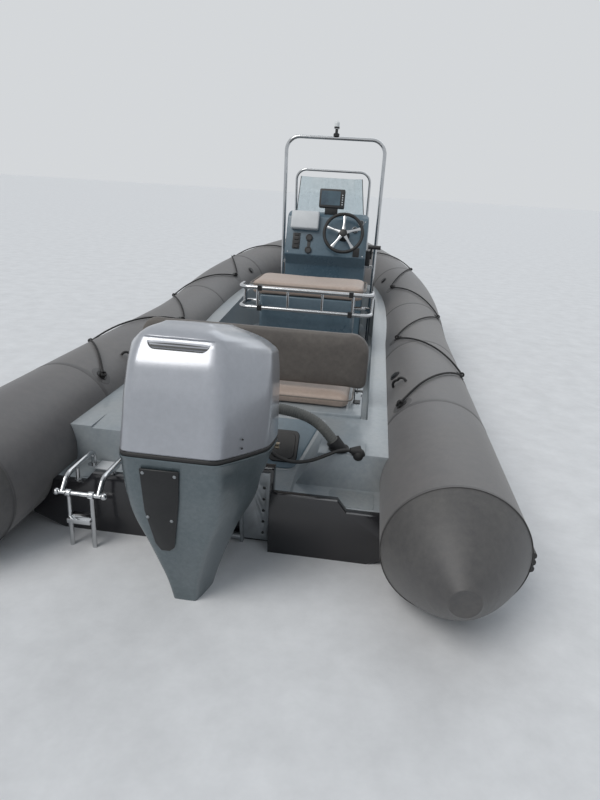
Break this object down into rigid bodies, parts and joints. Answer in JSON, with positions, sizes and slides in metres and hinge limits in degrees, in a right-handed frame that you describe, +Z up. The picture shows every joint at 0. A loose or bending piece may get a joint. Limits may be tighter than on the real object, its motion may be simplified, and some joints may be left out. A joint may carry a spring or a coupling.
{
  "type": "rigid inflatable boat with outboard engine",
  "caption": "rigid inflatable boat with centre console, bench and helm seats, boarding ladder and a tilting, steering outboard engine",
  "frame": {"origin": "on the waterline, on the centreline, at the aft edge of the stern platforms", "axes": "+X to starboard, +Y to the bow, +Z up"},
  "size_m": [2.5284, 6.6379, 2.749],
  "materials": {
    "tube": "coated charcoal fabric",
    "strake": "ribbed black rubber",
    "hull": "black gelcoat",
    "liner": "light grey-blue gelcoat",
    "console": "blue-grey gelcoat",
    "cushion": "taupe marine vinyl",
    "stainless": "polished stainless steel",
    "black_plastic": "black moulded plastic",
    "cover_white": "white instrument cover",
    "screen": "clear acrylic",
    "cowl": "silver metallic paint",
    "aluminium": "cast and painted aluminium",
    "engine_block": "engine block",
    "propeller": "dark painted aluminium",
    "rope": "black braided rope",
    "hose": "grey corrugated conduit",
    "rubber": "black rubber",
    "lens": "white lamp lens"
  },
  "bodies": {
    "boat": {"tube_starboard": "tube", "tube_port": "tube", "tube_bow": "tube", "rub_strake": "strake", "hull": "hull", "deck_liner": "liner", "bow_deck": "liner", "bow_locker_hinges": "stainless", "stern_bench_box": "liner", "stern_bench_cushion": "cushion", "backrest_hinge_stands": "black_plastic", "helm_seat_box": "console", "helm_seat_cushion": "cushion", "helm_seat_rail": "stainless", "console": "console", "plotter": "black_plastic", "plotter_bracket": "black_plastic", "instrument_cover": "cover_white", "switch_panel": "black_plastic", "gauges": "black_plastic", "key_switch": "black_plastic", "helm_boss": "black_plastic", "throttle_control": "black_plastic", "console_hoop": "stainless", "all_round_light": "lens", "windscreen": "screen", "windscreen_hoop": "stainless", "clamp_bracket": "aluminium", "ladder_rails": "stainless", "grab_line_starboard": "rope", "grab_line_port": "rope", "line_eyelets": "rubber", "inflation_valves": "black_plastic", "hose_flange": "black_plastic", "rigging_hose": "hose", "cable_boot": "rubber", "steering_lines": "rubber", "bow_cleat": "stainless", "bow_eye": "stainless"},
    "swivel_bracket": {"swivel_bracket": "aluminium", "steering_cylinder": "stainless"},
    "outboard": {"upper_cowl": "cowl", "air_intake": "black_plastic", "cowl_seal": "rubber", "lower_cowl": "cowl", "service_panel": "black_plastic", "gearcase": "cowl", "powerhead": "engine_block", "hose_boot": "rubber"},
    "propeller": {"propeller": "propeller"},
    "helm_wheel": {"steering_wheel": "black_plastic"},
    "backrest": {"stern_backrest": "cushion", "backrest_hinge_arms": "black_plastic"},
    "ladder": {"boarding_ladder": "stainless"},
    "locker_lid": {"bow_locker_lid": "liner"}
  },
  "joints": [
    {"name": "engine_tilt", "type": "hinge", "parent": "boat", "child": "swivel_bracket", "pos_m": [0, 0.04, 0.42], "axis": [-1, 0, 0], "range_deg": [-4, 68], "deforming": ["rigging_hose", "steering_lines"]},
    {"name": "engine_steer", "type": "hinge", "parent": "swivel_bracket", "child": "outboard", "pos_m": [0, -0.06, 0.2], "axis": [0, 0, 1], "range_deg": [-30, 30]},
    {"name": "propeller_spin", "type": "hinge", "parent": "outboard", "child": "propeller", "pos_m": [0, -0.496, -0.475], "axis": [0, 1, 0], "continuous": true},
    {"name": "wheel_turn", "type": "hinge", "parent": "boat", "child": "helm_wheel", "pos_m": [0.3, 3.09498, 1.15579], "axis": [0, 0.9344, -0.3562], "range_deg": [-720, 720]},
    {"name": "backrest_fold", "type": "hinge", "parent": "boat", "child": "backrest", "pos_m": [0, 0.846, 0.492], "axis": [-1, 0, 0], "range_deg": [0, 85]},
    {"name": "ladder_swing", "type": "hinge", "parent": "boat", "child": "ladder", "pos_m": [-0.53, -0.12, 0.25], "axis": [-1, 0, 0], "range_deg": [0, 225]},
    {"name": "locker_lid_open", "type": "hinge", "parent": "boat", "child": "locker_lid", "pos_m": [0, 4.80895, 0.49163], "axis": [-1, 0, 0], "range_deg": [0, 95]}
  ],
  "couplings": [
    {"joint": "wheel_turn", "follows": "engine_steer", "ratio": 24}
  ]
}
